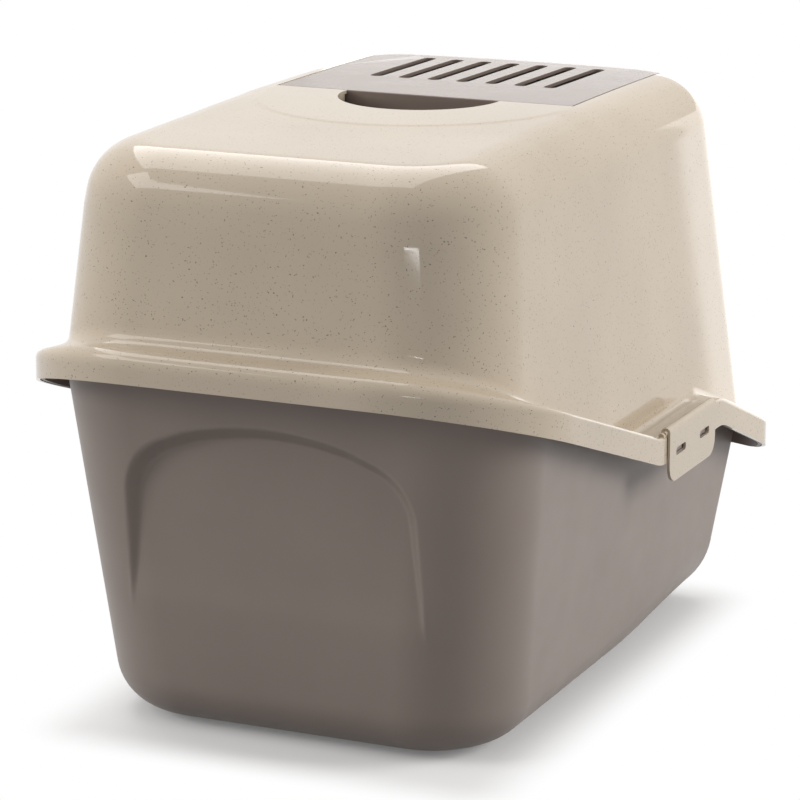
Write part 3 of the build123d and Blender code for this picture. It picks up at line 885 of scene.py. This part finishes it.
# Finishes
finishes = (
    (hood, hood_plastic), (tray, tray_plastic), (clips[0], clip_plastic), (clips[1], clip_plastic),
    (panel, panel_plastic), (door, door_plastic), (holder, holder_plastic), (felt, filter_felt),
)
for piece, made in finishes:
    piece.data.materials.clear()
    piece.data.materials.append(made)


# Floor
FLOOR_HALF = 9000
floor_corners = [(x * FLOOR_HALF, y * FLOOR_HALF, 0) for x, y in ((-1, -1), (1, -1), (1, 1), (-1, 1))]
floor = make_object("floor", floor_corners, [(0, 1, 2, 3)])
made, nodes, links, shader = material("floor_paper", (0.95, 0.95, 0.95), 0.9)
shader.inputs["Specular IOR Level"].default_value = 0.1
where = place(nodes)


def vector_step(operation, a, b=None):
    node = nodes.new("ShaderNodeVectorMath")
    node.operation = operation
    links.new(a, node.inputs[0])
    if b is not None:
        node.inputs[1].default_value = b
    return node


def number_step(operation, a, b):
    node = nodes.new("ShaderNodeMath")
    node.operation = operation
    links.new(a, node.inputs[0])
    links.new(b, node.inputs[1])
    return node.outputs["Value"]


def fade(value, span, levels):
    node = nodes.new("ShaderNodeMapRange")
    node.interpolation_type = "SMOOTHSTEP"
    links.new(value, node.inputs["Value"])
    node.inputs["From Min"].default_value, node.inputs["From Max"].default_value = span
    node.inputs["To Min"].default_value, node.inputs["To Max"].default_value = levels
    return node.outputs["Result"]


# Paper white, except close round the object, where its shadow falls
path = nodes.new("ShaderNodeLightPath")
quarter = vector_step("ABSOLUTE", where).outputs["Vector"]
beyond = vector_step("SUBTRACT", quarter, (0.14, 0.225, 0.0)).outputs["Vector"]
outside = vector_step("MAXIMUM", beyond, (0.0, 0.0, 0.0)).outputs["Vector"]
gap = vector_step("LENGTH", outside).outputs["Value"]
seen = number_step("MAXIMUM", path.outputs["Is Camera Ray"], path.outputs["Is Glossy Ray"])
share = number_step("MULTIPLY", seen, fade(gap, (0.0, 0.055), (0.12, 1.0)))
tone = nodes.new("ShaderNodeMix")
tone.data_type = "RGBA"
tone.inputs["A"].default_value = (0.95, 0.95, 0.95, 1)
tone.inputs["B"].default_value = (0.26, 0.26, 0.26, 1)
links.new(path.outputs["Is Diffuse Ray"], tone.inputs["Factor"])
links.new(tone.outputs["Result"], shader.inputs["Base Color"])
glow = nodes.new("ShaderNodeEmission")
glow.inputs["Color"].default_value = (1, 1, 1, 1)
mixer = nodes.new("ShaderNodeMixShader")
links.new(share, mixer.inputs["Fac"])
links.new(shader.outputs["BSDF"], mixer.inputs[1])
links.new(glow.outputs["Emission"], mixer.inputs[2])
links.new(mixer.outputs["Shader"], nodes["Material Output"].inputs["Surface"])
floor.data.materials.append(made)

# World and lamps
world = bpy.data.worlds.new("studio")
bpy.context.scene.world = world
world.use_nodes = True
links = world.node_tree.links
nodes = world.node_tree.nodes
sky = nodes["Background"]
sky.inputs["Color"].default_value = (1.0, 0.985, 0.965, 1)
path = nodes.new("ShaderNodeLightPath")
seen = number_step("MAXIMUM", path.outputs["Is Camera Ray"], path.outputs["Is Glossy Ray"])
level = nodes.new("ShaderNodeMapRange")
links.new(seen, level.inputs["Value"])
level.inputs["To Min"].default_value = 0.4
level.inputs["To Max"].default_value = 1.0
links.new(level.outputs["Result"], sky.inputs["Strength"])


def softbox(name, position, target, size, power, mirrored=True, diffuse=True):
    """A rectangular lamp, placed in metres, that the camera doesn't see."""
    lamp = bpy.data.lights.new(name, "AREA")
    lamp.shape = "RECTANGLE"
    lamp.size, lamp.size_y = size
    lamp.energy = power
    stand = bpy.data.objects.new(name, lamp)
    stand.location = position
    stand.rotation_euler = (Vector(target) - Vector(position)).to_track_quat("-Z", "Y").to_euler()
    stand.visible_camera = False
    stand.visible_glossy = mirrored
    stand.visible_diffuse = diffuse
    bpy.context.collection.objects.link(stand)


softbox("top", (0.85, -0.7, 2.2), (0.85, 0.2, 0.42), (1.9, 2.6), 36)
softbox("rear_high", (1.7, 1.35, 2.1), (1.7, 1.35, 0.0), (1.1, 1.4), 14)
softbox("rear_left", (2.3, 1.9, 1.4), (0, 0.1, 0.3), (1.2, 1.0), 35, mirrored=False)
softbox("front_side", (-2.5, -0.9, 1.1), (-0.1, 0, 0.25), (1.4, 1.4), 55, mirrored=False)
softbox("far", (1.05, -2.3, 1.2), (0, 0, 0.35), (2.2, 1.3), 0.8)
softbox("low_far", (0.03, -0.9, 0.26), (0.03, 0, 0.26), (0.96, 0.5), 1.5, diffuse=False)
softbox("spot", (-0.85, 2.45, 0.56), (-0.1, 0.25, 0.36), (0.6, 0.08), 1.5)

# Camera
lens = bpy.data.cameras.new("camera")
lens.lens = 158.2
lens.sensor_width = 36
lens.clip_end = 50
camera = bpy.data.objects.new("camera", lens)
target = Vector((-0.0001, 0.0157, 0.2011))
azimuth, elevation, distance_m = math.radians(204.106), math.radians(14.173), 2.5414
camera.location = target + distance_m * Vector((
    math.cos(elevation) * math.sin(azimuth), -math.cos(elevation) * math.cos(azimuth), math.sin(elevation)
))
camera.rotation_euler = (target - camera.location).to_track_quat("-Z", "Y").to_euler()
bpy.context.collection.objects.link(camera)
bpy.context.scene.camera = camera
bpy.context.scene.view_settings.view_transform = "Standard"
